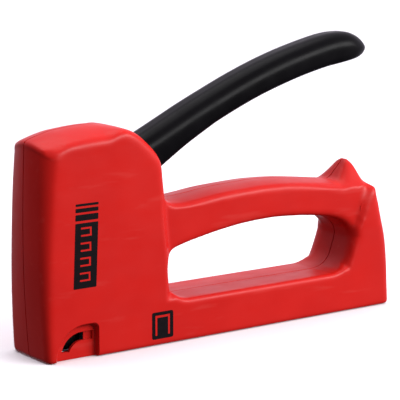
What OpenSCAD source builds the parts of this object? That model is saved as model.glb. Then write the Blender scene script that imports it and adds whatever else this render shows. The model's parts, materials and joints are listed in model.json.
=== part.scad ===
// Hand-operated staple gun with a two-part moulded housing, a sprung striker and a
// staple magazine that draws out at the rear. Nose at -X, +Z up, standing on its base.

/* [Housing] */
// Length of the housing along its base
body_length = 165; // [140:1:200]
// Width across both housing halves
body_width = 27.4; // [26:0.2:34]
// Height of the head above the base
head_height = 85.2; // [84:0.2:104]
// Length of the head behind the foot of the nose
head_length = 53.6; // [53:0.2:60]
// Height of the lower bar that holds the magazine
base_height = 16.3; // [16:0.1:20]
// How far the nose bulges forward of its foot
nose_bulge = 2.1; // [0:0.1:3]
// Moulded wall thickness
wall = 2.2; // [1.6:0.1:2.8]

/* [Hand grip] */
// Width of the grip bar
grip_width = 21; // [19:0.2:24]
// Height of the top of the grip bar above the base
grip_height = 56.8; // [55:0.2:60]
// Height of the underside of the grip bar at its middle
loop_top = 42.4; // [40:0.1:44]
// Depth of the column behind the finger loop
column_depth = 19; // [17:0.2:24]
// Height of the horn that ends the grip bar
horn_height = 60.6; // [58:0.1:64]

/* [Handle] */
// Reach of the handle from its pivot to its tip
handle_reach = 121; // [104:0.5:130]
// Space on each side between the handle and the head
handle_gap = 3.3; // [2.6:0.1:4]
// Height of the handle pivot above the base
pivot_height = 47; // [46:0.5:49]
// Distance of the handle pivot behind the foot of the nose
pivot_back = 38.5; // [38:0.5:39]
// Radius of the handle pivot pin
pivot_pin_r = 3; // [2.5:0.1:3.6]
// Turn of the handle from rest to its stop, in degrees
handle_turn = 20.5; // [16:0.5:21]
// Thickness of the steel lever
lever_t = 2; // [1.4:0.1:2.2]

/* [Striker] */
// Distance from the pivot to the lifting tip of the pawl
lift_arm = 27.6; // [27.2:0.1:28]
// Radius of the lifting tip of the pawl
tip_r = 2; // [1.6:0.1:2.2]
// Thickness of the driver blade
blade_t = 1; // [0.8:0.1:1.2]
// Outer radius of the main spring
spring_r = 7.5; // [6:0.1:7.8]
// Wire radius of the main spring
spring_wire_r = 1; // [0.7:0.05:1.1]

/* [Magazine] */
// Width of a staple across its crown, outside
staple_width = 11.4; // [10.6:0.1:12]
// Wire thickness of a staple
staple_wire = 0.75; // [0.6:0.05:0.9]
// Height of the staple rail above the base
rail_top = 8.4; // [8.4:0.1:9]
// Sheet thickness of the magazine channel
channel_t = 1; // [0.8:0.1:1.2]
// Radius of the guide rod
rod_r = 1.4; // [1.2:0.1:1.6]

/* [Hidden] */
$fn = 48;

fit = 0.05;             // running clearance round a pin or rod
gap = 0.3;              // clearance between parts that move past each other
nose_x = (nose_bulge - body_length) / 2;    // foot of the nose
rear_x = nose_x + body_length;
half_w = body_width / 2;
inner_w = half_w - wall;
grip_w = grip_width / 2;
head_x = nose_x + head_length;      // rear of the head at its base
loop_x = rear_x - column_depth;     // rear end of the finger loop

// Nose section, from the front wall backwards
plate_x = nose_x + 2;               // inside face of the front wall
plate_t = 1.1;
blade_x = plate_x + plate_t + gap;  // front of the driver blade
strike_x = blade_x + blade_t;       // back of the blade, front of the plunger
track_x = strike_x + gap;           // front end of the staple track

// Staple track
rail_w = staple_width / 2 - staple_wire - 0.2;
rail_t = 0.8;
rail_floor = 1.4;
channel_w = staple_width / 2 + 0.5 + channel_t;
channel_in = rail_top + staple_wire + 0.45;
channel_top = channel_in + channel_t;
track_w = channel_w + fit;
rod_z = 5.2;
rail_end = rear_x - 9.2;            // where the rail enters the end cap
cap_w = 8.7;
cap_top = 13.9;
bay_w = cap_w + gap;
bay_top = cap_top + gap;

// Handle and lifting mechanism
pivot_x = nose_x + pivot_back;
half_turn = handle_turn / 2;
tip_x = pivot_x - lift_arm * cos(half_turn);
tip_z = pivot_height - lift_arm * sin(half_turn);
pawl_arm = 18;
pawl_x = pivot_x - pawl_arm * cos(half_turn);
pawl_z = pivot_height - pawl_arm * sin(half_turn);
pawl_pin_r = 1.5;
pawl_w = 2;                         // half width of the pawl
cheek_in = 4.2;                     // inside of the lever's cheeks
cheek_out = cheek_in + lever_t;
washer_t = 0.3;
boss_in = cheek_out + washer_t + 0.1;
handle_w = inner_w - handle_gap;
slot_w = handle_w + 1;
slot_x = pivot_x - 5;
slot_z = grip_height - 1.6;
tail_x = pivot_x + 7;               // seat of the return spring
return_r = 3.3;
return_seat = 20;

// Plunger, its guide and its spring
plunger_w = 7.2;
guide_in = plunger_w + gap;
guide_out = guide_in + 1;
plunger_back = strike_x + 11.6;
ledge_z = tip_z + tip_r + gap;
cup_z = ledge_z + 4;
shelf_z = 26;
bumper_z = shelf_z + 2;
plunger_z = bumper_z + 5.1;
spring_x = strike_x + 6.6;
cap_z = head_height - 5.6;          // top of the spring cap
spring_top = cap_z - 2.2;
post_r = spring_r - 2 * spring_wire_r - 0.4;

// Screws, each [x, z, half width of the housing there]
screw_at = [[nose_x + 26.5, head_height - 12, half_w], [nose_x + 26.5, 24, half_w],
  [head_x + 4, 46.5, grip_w], [loop_x - 27, grip_height - 8.2, grip_w],
  [rear_x - 12, 41, half_w], [rear_x - 10.5, 25, half_w]];
boss_r = 3.4;
screw_r = 1.45;
screw_head_r = 2.9;
screw_head_h = 1.8;
screw_seat = 2.6;                   // depth of the screw seat under the outer face
screw_end = 8;                      // reach of a screw past the parting plane

// Points on a smooth curve through p, n steps in each span
function smooth(p, n = 3) = [for (i = [0 : len(p) - 2], k = [0 : n - 1])
  let (a = p[max(i - 1, 0)], b = p[i], c = p[i + 1], d = p[min(i + 2, len(p) - 1)], t = k / n)
  (2 * b + (c - a) * t + (2 * a - 5 * b + 4 * c - d) * t * t
  + (3 * b - a - 3 * c + d) * t * t * t) / 2];
function arc(x, y, r, from, to, n = 6) = [for (k = [0 : n])
  let (a = from + (to - from) * k / n) [x + r * cos(a), y + r * sin(a)]];
function shift(p, x, y) = [for (q = p) [q[0] + x, q[1] + y]];

// An outline in the side view, between two planes across the tool
module slab(outline, y0, y1) {
  translate([0, y1, 0]) rotate([90, 0, 0]) linear_extrude(y1 - y0) polygon(outline);
}
module across(x, z, r, y0, y1) {
  translate([x, y1, z]) rotate([90, 0, 0]) cylinder(h = y1 - y0, r = r);
}
module box(x0, x1, y0, y1, z0, z1) {
  translate([x0, y0, z0]) cube([x1 - x0, y1 - y0, z1 - z0]);
}

// Compression spring standing on z = 0
module spring(mean_r, wire_r, length, turns, steps = 16, sides = 6) {
  rings = turns * steps;
  pts = [for (i = [0 : rings], k = [0 : sides - 1])
    let (a = 360 * i / steps, b = 360 * k / sides, r = mean_r + wire_r * cos(b))
    [r * cos(a), r * sin(a), wire_r + (length - 2 * wire_r) * i / rings + wire_r * sin(b)]];
  walls = [for (i = [0 : rings - 1], k = [0 : sides - 1], half = [0, 1])
    let (n = (k + 1) % sides, a = i * sides, b = a + sides)
    half == 0 ? [a + k, a + n, b + n] : [a + k, b + n, b + k]];
  ends = [[for (k = [sides - 1 : -1 : 0]) k], [for (k = [0 : sides - 1]) rings * sides + k]];
  polyhedron(pts, concat(walls, ends), convexity = 10);
}

// Outlines of the housing in the side view; the nose bulges most at nose_mid
nose_mid = 0.47 * head_height;
nose_rise = 1.1 * (head_height - nose_mid);
head_side = concat(
  [for (z = [0 : head_height / 9 : head_height - 6])
    [nose_x - nose_bulge * (1 - pow((z - nose_mid) / (z < nose_mid ? nose_mid : nose_rise), 2)), z]],
  smooth([[nose_x - 0.7, head_height - 4.8], [nose_x + 1, head_height - 3.5],
    [nose_x + 8.6, head_height - 1.5], [nose_x + 14, head_height - 0.7],
    [nose_x + 22, head_height], [nose_x + 29, head_height],
    [nose_x + 36.5, head_height - 1.3], [nose_x + 40.6, head_height - 3.1],
    [nose_x + 44.1, head_height - 5.8], [nose_x + 48.7, head_height - 10.4],
    [nose_x + 51.5, head_height - 15.2], [nose_x + 52.3, head_height - 21.5],
    [nose_x + 52.6, head_height - 25]]),
  [[nose_x + 52.4, 50], [nose_x + 52.6, 36], [head_x, 24], [head_x, 0]]);

horn_x = rear_x - 15.2;
upper_side = concat(
  [[nose_x + 44, grip_height - 3.5]],
  smooth([[nose_x + 50, grip_height - 2.8], [nose_x + 62, grip_height - 2.6],
    [nose_x + 70, grip_height - 2], [nose_x + 81, grip_height - 0.8], [nose_x + 98, grip_height],
    [horn_x - 44, grip_height], [horn_x - 34, grip_height - 0.5], [horn_x - 23, grip_height - 1.7],
    [horn_x - 12, grip_height - 3.1], [horn_x - 7.6, grip_height - 3.2],
    [horn_x - 3.4, grip_height + 0.6], [horn_x, horn_height], [horn_x + 2, horn_height - 1],
    [horn_x + 3.6, horn_height - 4], [horn_x + 5, horn_height - 8.2],
    [horn_x + 7.8, horn_height - 10.6]]),
  [[horn_x + 7.8, 30], [nose_x + 44, 30]]);
column_side = concat(
  [[loop_x - 4, 0], [loop_x - 4, 47]],
  smooth([[loop_x + 3, 51], [rear_x - 9, 50.6], [rear_x - 7.4, 49.8], [rear_x - 6.6, 48.6],
    [rear_x - 6.2, 46.4], [rear_x - 3.9, 37.6], [rear_x - 1.6, 28.6], [rear_x - 0.4, 18],
    [rear_x, 8], [rear_x, 0]]), [[rear_x, 0]]);

// Finger loop, as a closed outline
loop_side = concat(
  arc(head_x + 9.4, base_height + 9, 9, 270, 180),
  smooth([[head_x - 0.4, loop_top - 12.9], [head_x + 0.8, loop_top - 10.3],
    [head_x + 4, loop_top - 7], [head_x + 9, loop_top - 5.4], [head_x + 15, loop_top - 4.1],
    [head_x + 26, loop_top - 2.1], [head_x + 38, loop_top - 0.6], [head_x + 50, loop_top],
    [loop_x - 36, loop_top - 0.1], [loop_x - 24, loop_top - 1], [loop_x - 12, loop_top - 2.8],
    [loop_x - 5, loop_top - 5.4], [loop_x - 1, loop_top - 9], [loop_x, loop_top - 12.4]]),
  smooth([[loop_x, loop_top - 12.4], [loop_x - 1.4, base_height + 9],
    [loop_x - 3.4, base_height + 4.2], [loop_x - 6.8, base_height + 1.2],
    [loop_x - 11.4, base_height]]), [[loop_x - 11.4, base_height]]);

// Plan of the head: rounded front corners
corner_r = 5;
head_plan = concat([[head_x + 4, -half_w], [nose_x + corner_r - 1, -half_w]],
  arc(nose_x + corner_r - 1, corner_r - half_w, corner_r, 270, 190, 6),
  [[nose_x - nose_bulge - 0.4, -half_w + 9], [nose_x - nose_bulge - 0.4, half_w - 9]],
  arc(nose_x + corner_r - 1, half_w - corner_r, corner_r, 170, 90, 6), [[head_x + 4, half_w]]);
column_r = 4;
column_plan = concat([[loop_x - 6, -half_w], [rear_x - column_r, -half_w]],
  arc(rear_x - column_r, column_r - half_w, column_r, 275, 355, 5),
  arc(rear_x - column_r, half_w - column_r, column_r, 5, 85, 5),
  [[rear_x - column_r, half_w], [loop_x - 6, half_w]]);

// Cross-sections, as [y, z]
crown = 3.2;
roof_half = [for (k = [0 : 5]) let (y = (half_w - 3) * k / 5)
  [y, head_height - crown * pow(y / (half_w - 3), 2)]];
roof_right = concat(roof_half, [[half_w - 1, head_height - crown - 1.2],
  [half_w - 0.2, head_height - crown - 3], [half_w, head_height - crown - 6], [half_w, 0]]);
roof_left = [for (i = [len(roof_right) - 1 : -1 : 1]) [-roof_right[i][0], roof_right[i][1]]];
roof_section = concat(roof_right, roof_left);
grip_section = [[-grip_w + 1, 30], [-grip_w, 40], [-grip_w, grip_height - 6],
  [-grip_w + 1.2, grip_height - 3], [-grip_w + 4, horn_height + 1],
  [grip_w - 4, horn_height + 1], [grip_w - 1.2, grip_height - 3], [grip_w, grip_height - 6],
  [grip_w, 40], [grip_w - 1, 30]];
base_section = concat([[half_w, 0]],
  arc(half_w - 3, base_height - 3, 3, 0, 80, 4), [[0, base_height]],
  arc(3 - half_w, base_height - 3, 3, 100, 180, 4), [[-half_w, 0]]);

// A cross-section drawn along X
module along(section, x0, x1) {
  translate([x0, 0, 0]) rotate([90, 0, 90]) linear_extrude(x1 - x0) polygon(section);
}

module outer_body() {
  difference() {
    union() {
      intersection() {
        slab(head_side, -half_w, half_w);
        linear_extrude(head_height + 1) polygon(head_plan);
        along(roof_section, nose_x - nose_bulge - 1, head_x + 1);
      }
      intersection() {
        slab(upper_side, -grip_w, grip_w);
        along(grip_section, head_x - 12, rear_x);
      }
      intersection() {
        slab(column_side, -half_w, half_w);
        linear_extrude(60) polygon(column_plan);
      }
      along(base_section, nose_x + 12, loop_x + 4);
    }
    slab(loop_side, -half_w - 1, half_w + 1);
  }
}

// Hollow of the head, above the magazine
module head_hollow() {
  slab([[plate_x, channel_top + 3], [plate_x, cap_z], [spring_x + 8, cap_z],
    [spring_x + 10, head_height - wall - crown], [nose_x + 35, head_height - wall - crown],
    [nose_x + 42, head_height - wall - crown - 6], [nose_x + 46.4, head_height - 17],
    [nose_x + 48.4, 60], [nose_x + 48.8, 50], [nose_x + 50.2, 36],
    [head_x - wall, 24], [head_x - wall, channel_top + 3]], -inner_w, inner_w);
}

// Hollows of the grip bar and of the rear column
module grip_hollow() {
  w = grip_w - wall;
  slab([[nose_x + 46, 40], [head_x + 8, loop_top - 1.6], [head_x + 34, loop_top + 1.4],
    [head_x + 50, loop_top + 2.4], [loop_x - 34, loop_top + 2.4], [loop_x - 14, loop_top + 0.4],
    [loop_x - 4, loop_top - 1], [loop_x - 4, grip_height - 6.4],
    [horn_x - 23, grip_height - 4.8], [nose_x + 98, grip_height - 2.8],
    [nose_x + 46, grip_height - 5.6]], -w, w);
  slab([[loop_x + 2.4, bay_top + 3], [rear_x - 3, bay_top + 3], [rear_x - 4.4, 28],
    [rear_x - 7, 38], [rear_x - 9, 45.6], [loop_x - 6, 45.6], [loop_x - 6, loop_top],
    [loop_x + 1, loop_top - 5.4]], -w, w);
}

// Recess at the foot of the head, with the curved slot that shows the staples. The slot
// goes through as far back as sight_x and is a shallow groove from there on.
recess_x = nose_x + 16;
recess_z = 0.8;
recess_r = 12;
recess_end = nose_x + 21.9;
recess_depth = 2.8;
sight_in = 5.6;
sight_out = 8.9;
sight_x = recess_x + 1.4;
module staple_sight(s) {
  recess = concat([[recess_x - recess_r, -1]], arc(recess_x, recess_z, recess_r, 180, 90, 8),
    [[recess_end - 1, recess_z + recess_r], [recess_end, recess_z + recess_r - 1],
    [recess_end, -1]]);
  slot = concat(arc(recess_x, recess_z, sight_out, 166, 90, 8),
    [[sight_x, recess_z + sight_out], [sight_x, recess_z + sight_in]],
    arc(recess_x, recess_z, sight_in, 90, 160, 8));
  y = half_w - recess_depth;
  groove = y - 1;
  box(sight_x - 0.1, recess_end - 1, s > 0 ? groove : -y - 1, s > 0 ? y + 1 : -groove,
    recess_z + sight_in, recess_z + sight_out);
  slab(recess, s > 0 ? y : -half_w - 1, s > 0 ? half_w + 1 : -y);
  slab(slot, s > 0 ? track_w - 0.5 : -y - 1, s > 0 ? y + 1 : 0.5 - track_w);
}

// One half of the housing; s is -1 on the left and 1 on the right
module housing_half(s) {
  y0 = s > 0 ? 0 : -half_w - 1;
  y1 = s > 0 ? half_w + 1 : 0;
  difference() {
    intersection() {
      outer_body();
      box(nose_x - 5, rear_x + 1, y0, y1, -1, head_height + 1);
    }
    head_hollow();
    grip_hollow();
    // Staple track, the nose passage above it and the bay for the end cap
    box(plate_x, rear_x + 1, -track_w, track_w, -1, channel_top + fit);
    box(plate_x, track_x, -7.5, 7.5, -1, channel_top + 4);
    box(rail_end - gap, rear_x + 1, -bay_w, bay_w, -1, bay_top);
    // Way out for the handle, under the roof in front and open to the rear
    slab([[slot_x, slot_z], [slot_x, pivot_height + 30.6], [pivot_x + 2, pivot_height + 31],
      [pivot_x + 3.4, pivot_height + 32.4], [pivot_x + 3.4, head_height + 1],
      [head_x + 4, head_height + 1], [head_x + 4, slot_z]], -slot_w, slot_w);
    // Lightening pockets in the lower bar
    for (x = [nose_x + 26 : 17 : loop_x - 14])
      box(x, x + 14, s > 0 ? track_w + 1.4 : -inner_w, s > 0 ? inner_w : -track_w - 1.4,
        wall, channel_top + 1.4);
    staple_sight(s);
    if (s > 0) for (p = screw_at) screw_room(p);
  }
  difference() {
    bosses(s);
    if (s > 0) for (p = screw_at) screw_room(p);
    if (s < 0) for (p = screw_at) across(p[0], p[1], screw_r + 0.02, -screw_end - 0.6, 1);
  }
  // Pivot boss, with the blind seat of the pin
  difference() {
    across(pivot_x, pivot_height, pivot_pin_r + 3.4, s > 0 ? boss_in : -inner_w - 0.5,
      s > 0 ? inner_w + 0.5 : -boss_in);
    across(pivot_x, pivot_height, pivot_pin_r + 0.02, -inner_w, inner_w);
  }
  // Ribs that hold the plunger guide, and the shelves under it and the return spring
  for (x = [strike_x + 2, strike_x + 8])
    box(x, x + 2, s > 0 ? guide_out : -inner_w - 0.5, s > 0 ? inner_w + 0.5 : -guide_out,
      shelf_z, shelf_z + 32);
  box(track_x, plunger_back, s > 0 ? 0 : -inner_w - 0.5, s > 0 ? inner_w + 0.5 : 0,
    shelf_z - 3, shelf_z);
  box(tail_x - return_r - 1, nose_x + 51, s > 0 ? 0 : -inner_w - 0.5,
    s > 0 ? inner_w + 0.5 : 0, return_seat - 3, return_seat);
}

// Screw bosses, from the side wall to the parting plane
module bosses(s) {
  for (p = screw_at)
    across(p[0], p[1], boss_r, s > 0 ? 0 : -p[2] + wall - 0.5, s > 0 ? p[2] - wall + 0.5 : 0);
}
module screw_room(p) {
  across(p[0], p[1], screw_r + 0.25, -1, p[2] + 1);
  across(p[0], p[1], screw_head_r + 0.25, p[2] - screw_seat, p[2] + 1);
}

module left_housing() { color([0.80, 0.06, 0.05]) housing_half(-1); }
module right_housing() { color([0.80, 0.06, 0.05]) housing_half(1); }

module housing_screws() {
  color([0.55, 0.56, 0.58]) for (p = screw_at) difference() {
    union() {
      across(p[0], p[1], screw_r, -screw_end, p[2] - screw_seat);
      across(p[0], p[1], screw_head_r, p[2] - screw_seat, p[2] - screw_seat + screw_head_h);
    }
    for (a = [0, 90]) translate([p[0], p[2] - screw_seat + screw_head_h, p[1]])
      rotate([0, a, 0]) cube([3.6, 2, 0.8], center = true);
  }
}

module nose_plate() {
  color([0.62, 0.63, 0.65])
    box(plate_x, plate_x + plate_t, -plunger_w, plunger_w, 0.4, shelf_z + 34);
}

module plunger_guide() {
  color([0.66, 0.67, 0.70]) {
    box(track_x, plunger_back, -guide_out, guide_out, shelf_z, bumper_z);
    for (y = [-guide_out, guide_in])
      box(plate_x, plunger_back, y, y + 1, shelf_z, shelf_z + 36);
  }
}

module rubber_bumper() {
  color([0.08, 0.08, 0.08])
    box(track_x, plunger_back - 0.4, -plunger_w, plunger_w, bumper_z, plunger_z - 0.1);
}

module spring_cap() {
  color([0.14, 0.14, 0.15]) translate([spring_x, 0, 0]) {
    translate([0, 0, spring_top]) cylinder(h = cap_z - spring_top, r = spring_r);
    translate([0, 0, spring_top - 5]) cylinder(h = 6, r = post_r);
  }
}

module main_spring() {
  color([0.70, 0.71, 0.73]) translate([spring_x, 0, cup_z])
    spring(spring_r - spring_wire_r, spring_wire_r, spring_top - cup_z, 8);
}

module plunger() {
  color([0.50, 0.50, 0.52]) {
    difference() {
      box(strike_x, plunger_back, -plunger_w, plunger_w, plunger_z, cup_z);
      box(tip_x - tip_r - 0.7, plunger_back + 1, -pawl_w - 1, pawl_w + 1, plunger_z - 1, ledge_z);
      for (z = rivet_z) translate([strike_x - 1, 0, z]) rotate([0, 90, 0])
        cylinder(h = 6, r = rivet_r + 0.02);
    }
    translate([spring_x, 0, cup_z - 0.5]) cylinder(h = 6.5, r = post_r);
  }
}

rivet_r = 1.2;
rivet_z = [plunger_z + 3, ledge_z - 2];
module driver_blade() {
  color([0.74, 0.75, 0.77]) difference() {
    box(blade_x, strike_x, -staple_width / 2, staple_width / 2, 0.6, ledge_z + 2);
    for (z = rivet_z) translate([blade_x - 1, 0, z]) rotate([0, 90, 0])
      cylinder(h = 6, r = rivet_r + 0.02);
  }
}

module driver_rivets() {
  color([0.60, 0.60, 0.62]) for (z = rivet_z) translate([blade_x, 0, z]) rotate([0, 90, 0])
    cylinder(h = tip_x - tip_r - 0.7 - blade_x, r = rivet_r);
}

module magazine_channel() {
  color([0.68, 0.69, 0.71]) difference() {
    box(track_x, rail_end - gap, -channel_w, channel_w, 0.8, channel_top);
    box(track_x - 1, rear_x, channel_t - channel_w, channel_w - channel_t, 0, channel_in);
    // Windows behind the curved slots of the housing
    box(recess_x - sight_out + 1, sight_x + 2.4, -channel_w - 1, channel_w + 1,
      recess_z + 1.6, channel_in - 0.5);
  }
}

module handle_pivot_pin() {
  color([0.72, 0.73, 0.75]) across(pivot_x, pivot_height, pivot_pin_r, -inner_w, inner_w);
}

module pivot_washers() {
  color([0.76, 0.77, 0.78]) for (y = [cheek_out + 0.05, -cheek_out - 0.05 - washer_t])
    difference() {
      across(pivot_x, pivot_height, pivot_pin_r + 2.6, y, y + washer_t);
      across(pivot_x, pivot_height, pivot_pin_r + fit, y - 1, y + washer_t + 1);
    }
}

module handle_return_spring() {
  color([0.72, 0.73, 0.75]) translate([tail_x, 0, return_seat])
    spring(return_r - 0.4, 0.4, pivot_height - 1.5 - return_seat, 9, 12);
}

// Handle outline, counted from the pivot; the reach moves only the part near the tip
tip_add = handle_reach - 121;
handle_top = smooth([[-4, 22], [-2, 26], [2, 29.6], [6.5, 31.6], [11, 33.2], [22, 38.4],
  [30.4, 42.4], [41.8, 47.3], [53.2, 52.1], [65, 56.6], [77 + tip_add, 60.4],
  [89 + tip_add, 63.6], [99 + tip_add, 65.7], [106.4 + tip_add, 66.4],
  [111.5 + tip_add, 66], [116 + tip_add, 64.2], [119.4 + tip_add, 61.4], [handle_reach, 58.9]]);
handle_foot = smooth([[handle_reach, 58.9], [118.5 + tip_add, 57], [112 + tip_add, 55.5],
  [104 + tip_add, 54.2], [95 + tip_add, 52.8], [80 + tip_add, 49.2], [61.9, 43.5],
  [44.7, 36.5], [36.1, 32.2], [27.7, 27.6], [19.5, 22.5], [11, 17], [6, 13.6]]);
handle_side = shift(concat(handle_top, handle_foot, [[6, 13.6]]), pivot_x, pivot_height);
tip_round = handle_w - 0.4;
handle_plan = concat([[-8, -handle_w], [handle_reach - tip_round - 2, -handle_w]],
  arc(handle_reach - tip_round, 0, tip_round, 280, 440, 10),
  [[handle_reach - tip_round - 2, handle_w], [-8, handle_w]]);

// Steel lever: two cheeks over the pin, bent from one sheet. Each cheek is a band up into
// the handle, an eye round the pivot pin, a tail over the return spring and a short arm
// to the eye of the pawl pin.
lever_top = smooth([[-5, 8], [-3, 15], [0.6, 22], [6, 27], [14, 30.8], [26, 36.6], [38, 42.2],
  [50, 46.8]]);
lever_foot = [[50, 46.8], [51.4, 44.2], [40, 39], [28, 33], [17, 26.6], [11, 22], [7.4, 15],
  [5.4, 8]];
lever_band = concat(lever_top, lever_foot);
eye_r = 7;
pawl_eye_r = 3.6;
arm_w = 3.2;                        // half width of the short arm
tail_end = 10.5;
eye_cut = asin(arm_w / eye_r);
pawl_cut = 180 - asin(arm_w / pawl_eye_r);
arm_dir = half_turn - 180;          // direction of the short arm
cheek_side = concat(lever_band, arc(0, 0, eye_r, 49, 12, 3),
  [[tail_end, 1], [tail_end, -2.4]], arc(0, 0, eye_r, -22, arm_dir + eye_cut, 8),
  arc(pawl_x - pivot_x, pawl_z - pivot_height, pawl_eye_r, arm_dir + pawl_cut,
    arm_dir - pawl_cut, 8),
  arc(0, 0, eye_r, 180 + half_turn - eye_cut, 125, 3));
module lever_arm() {
  color([0.58, 0.59, 0.61]) difference() {
    union() {
      for (y = [-cheek_out, cheek_in])
        slab(shift(cheek_side, pivot_x, pivot_height), y, y + lever_t);
      // Web that joins the cheeks inside the handle, and the tab over the return spring
      slab(shift([[14.4, 30.2], [26.2, 35.9], [38.2, 41.5], [49.6, 45.8], [50, 44.8],
        [38.8, 40.2], [26.8, 34.6], [15.2, 29]], pivot_x, pivot_height),
        -cheek_in - 0.5, cheek_in + 0.5);
      box(tail_x - 3.3, pivot_x + tail_end - 0.2, -cheek_in - 0.5, cheek_in + 0.5,
        pivot_height - 1.5, pivot_height + 0.3);
    }
    across(pivot_x, pivot_height, pivot_pin_r + fit, -cheek_out - 1, cheek_out + 1);
    across(pawl_x, pawl_z, pawl_pin_r + 0.02, -cheek_out - 1, cheek_out + 1);
  }
}

module handle_grip() {
  color([0.03, 0.03, 0.035]) difference() {
    intersection() {
      slab(handle_side, -handle_w, handle_w);
      translate([pivot_x, 0, 0]) linear_extrude(pivot_height + 80) polygon(handle_plan);
    }
    // Seats of the lever's cheeks and of its web
    for (y = [-cheek_out, cheek_in])
      slab(shift(lever_band, pivot_x, pivot_height), y, y + lever_t);
    slab(shift(concat([[-6, 8], [-6, 18], [0.6, 26], [6, 29]], [for (q = [4 : 6]) lever_top[3 * q]],
      lever_foot), pivot_x, pivot_height), -cheek_in - 0.01, cheek_in + 0.01);
  }
}

module pawl_pin() {
  color([0.72, 0.73, 0.75]) across(pawl_x, pawl_z, pawl_pin_r, -cheek_out, cheek_out);
}

// Small torsion spring beside the pawl, one leg on the lever's side and one under the pawl
module pawl_spring() {
  color([0.74, 0.75, 0.76]) translate([pawl_x, cheek_in - 0.15, pawl_z]) rotate([90, 0, 0])
    spring(2.25, 0.25, 1.8, 2, 12, 5);
}

module lift_pawl() {
  color([0.46, 0.46, 0.48]) difference() {
    union() {
      across(pawl_x, pawl_z, 3, -pawl_w, pawl_w);
      across(tip_x, tip_z, tip_r, -pawl_w, pawl_w);
      slab([[pawl_x, pawl_z - 2.4], [pawl_x, pawl_z + 2.4],
        [plunger_back + 0.6, tip_z + tip_r - 0.2], [tip_x, tip_z + tip_r - 0.2],
        [tip_x, tip_z - tip_r + 0.3]], -pawl_w, pawl_w);
    }
    across(pawl_x, pawl_z, pawl_pin_r + fit, -pawl_w - 1, pawl_w + 1);
  }
}

module magazine_rail() {
  x0 = track_x + gap;
  color([0.72, 0.73, 0.75]) difference() {
    union() {
      difference() {
        box(x0, rail_end + 5.6, -rail_w, rail_w, rail_floor, rail_top);
        box(x0 - 1, rail_end + 7, rail_t - rail_w, rail_w - rail_t, rail_floor + rail_t,
          rail_top + 1);
      }
      box(x0 + 0.6, x0 + 1.6, -rail_w + 0.4, rail_w - 0.4, rail_floor + 0.4, rail_top - 0.8);
    }
    translate([x0, 0, rod_z]) rotate([0, 90, 0]) cylinder(h = 2, r = rod_r + 0.02);
    across(cap_pin_x, cap_pin_z, cap_pin_r + 0.02, -rail_w - 1, rail_w + 1);
  }
}

rod_front = track_x + gap + 0.2;
module guide_rod() {
  color([0.78, 0.79, 0.80]) translate([rod_front, 0, rod_z]) rotate([0, 90, 0])
    cylinder(h = rail_end + 7.2 - rod_front, r = rod_r);
}

// Push-on washer that holds the rod in the rail's front tab
module rod_clip() {
  color([0.76, 0.77, 0.78]) translate([track_x + gap + 1.7, 0, rod_z]) rotate([0, 90, 0])
    difference() {
      cylinder(h = 0.6, r = rod_r + 0.9);
      translate([0, 0, -1]) cylinder(h = 3, r = rod_r + 0.02);
    }
}

spring_end = rail_end + 1.8;
cap_pin_x = rail_end + 3.6;
cap_pin_z = rail_top - 1.1;
cap_pin_r = 0.6;
cap_back = rear_x - 0.3;
detent_w = 3;
module magazine_end_cap() {
  color([0.06, 0.06, 0.065]) difference() {
    slab([[rail_end, 0.5], [rail_end, cap_top], [cap_back - 1.2, cap_top],
      [cap_back, cap_top - 1.6], [cap_back, 5], [cap_back - 1.6, 3.6], [cap_back - 1.6, 1.8],
      [cap_back, 0.5]], -cap_w, cap_w);
    // Seat of the rail, round a plug that fills it behind the spring
    difference() {
      box(rail_end - 1, rail_end + 5.65, -rail_w, rail_w, rail_floor, rail_top);
      box(spring_end, rail_end + 6, rail_t - rail_w, rail_w - rail_t, rail_floor + rail_t,
        rail_top);
    }
    translate([rail_end, 0, rod_z]) rotate([0, 90, 0]) cylinder(h = 7.25, r = rod_r + 0.02);
    across(cap_pin_x, cap_pin_z, cap_pin_r + 0.02, -cap_w - 1, cap_w + 1);
    // Seat of the detent spring
    box(rail_end - 1, cap_back - 3, -detent_w, detent_w, cap_top - 1, cap_top + 1);
  }
}

module end_cap_pin() {
  color([0.74, 0.75, 0.76]) across(cap_pin_x, cap_pin_z, cap_pin_r, 0.1 - cap_w, cap_w - 0.1);
}

// Leaf whose bump presses against the roof of the bay
module magazine_detent() {
  x0 = rail_end + 0.2;
  x1 = cap_back - 3.2;
  z = cap_top - 1;
  color([0.74, 0.75, 0.76]) slab([[x0, z], [x1, z], [x1, z + 0.4], [x1 - 0.8, z + 0.4],
    [x1 - 1.8, z + 1.1], [x1 - 2.8, z + 1.1], [x1 - 3.8, z + 0.4], [x0, z + 0.4]],
    -detent_w + 0.2, detent_w - 0.2);
}

pusher_x = track_x + gap + 0.1;
pusher_tab = pusher_x + 4.6;
pusher_tab_t = 3.4;
module staple_pusher() {
  leg_in = rail_w + 0.22;
  leg_out = staple_width / 2 + 0.1;
  color([0.10, 0.10, 0.11]) difference() {
    union() {
      box(pusher_x, pusher_x + 13, -leg_out, leg_out, rail_top + 0.2, rail_top + 0.8);
      for (y = [-leg_out, leg_in])
        box(pusher_x, pusher_x + 13, y, y + leg_out - leg_in, rail_floor + 1, rail_top + 0.8);
      box(pusher_tab, pusher_tab + pusher_tab_t, rail_t + 0.25 - rail_w, rail_w - rail_t - 0.25,
        rail_floor + rail_t + 0.4, rail_top + 0.5);
    }
    translate([pusher_x, 0, rod_z]) rotate([0, 90, 0]) cylinder(h = 13, r = rod_r + fit);
  }
}

module pusher_spring() {
  x0 = pusher_tab + pusher_tab_t;
  color([0.74, 0.75, 0.76]) translate([x0, 0, rod_z]) rotate([0, 90, 0])
    spring(rod_r + 0.65, 0.3, spring_end - x0, 26, 12, 5);
}

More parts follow.
